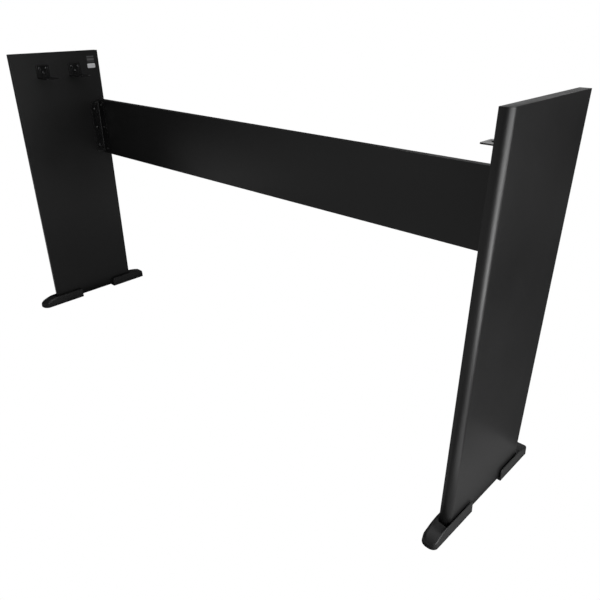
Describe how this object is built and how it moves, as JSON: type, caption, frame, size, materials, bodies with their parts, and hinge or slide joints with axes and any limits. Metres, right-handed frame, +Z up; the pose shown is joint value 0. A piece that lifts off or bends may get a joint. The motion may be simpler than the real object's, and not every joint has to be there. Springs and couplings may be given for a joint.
{
  "type": "digital piano stand",
  "caption": "Slab-sided stand for a digital piano: tall side panels on moulded feet, joined by a back panel, with steel angle brackets inside that carry the keyboard.",
  "frame": {"origin": "on the floor, at the centre of the feet's outline, midway between the side panels", "axes": "+X along the keyboard to the player's right, +Y towards the rear (away from the player), +Z up"},
  "size_m": [1.376, 0.346, 0.696],
  "materials": {
    "board_wrap": "particle board wrapped in black foil with a fine satin grain",
    "edge_band": "black satin edge band",
    "foot_plastic": "moulded black plastic with a fine spark texture",
    "bracket_steel": "black powder coat, semi-gloss",
    "screw_steel": "black zinc plate",
    "pad_rubber": "matt black rubber",
    "label_grey": "dull grey film with plain dark rules and no lettering",
    "label_white": "white paper sticker, blank"
  },
  "bodies": {
    "root": {"left_side_panel": "board_wrap", "right_side_panel": "board_wrap", "back_panel": "board_wrap", "left_top_edge_band": "edge_band", "right_top_edge_band": "edge_band", "left_rear_edge_band": "edge_band", "right_rear_edge_band": "edge_band", "left_bottom_edge_band": "edge_band", "right_bottom_edge_band": "edge_band", "back_panel_top_band": "edge_band", "back_panel_bottom_band": "edge_band", "left_front_foot": "foot_plastic", "right_front_foot": "foot_plastic", "left_rear_foot": "foot_plastic", "right_rear_foot": "foot_plastic", "left_front_foot_screws": "screw_steel", "right_front_foot_screws": "screw_steel", "left_rear_foot_screws": "screw_steel", "right_rear_foot_screws": "screw_steel", "left_front_foot_pads": "pad_rubber", "right_front_foot_pads": "pad_rubber", "left_rear_foot_pads": "pad_rubber", "right_rear_foot_pads": "pad_rubber", "left_front_keyboard_bracket": "bracket_steel", "right_front_keyboard_bracket": "bracket_steel", "left_rear_keyboard_bracket": "bracket_steel", "right_rear_keyboard_bracket": "bracket_steel", "left_front_bracket_screws": "screw_steel", "right_front_bracket_screws": "screw_steel", "left_rear_bracket_screws": "screw_steel", "right_rear_bracket_screws": "screw_steel", "left_corner_bracket": "bracket_steel", "right_corner_bracket": "bracket_steel", "left_corner_side_screws": "screw_steel", "right_corner_side_screws": "screw_steel", "left_corner_back_screws": "screw_steel", "right_corner_back_screws": "screw_steel", "rating_label": "label_grey", "inspection_label": "label_white"}
  },
  "joints": []
}
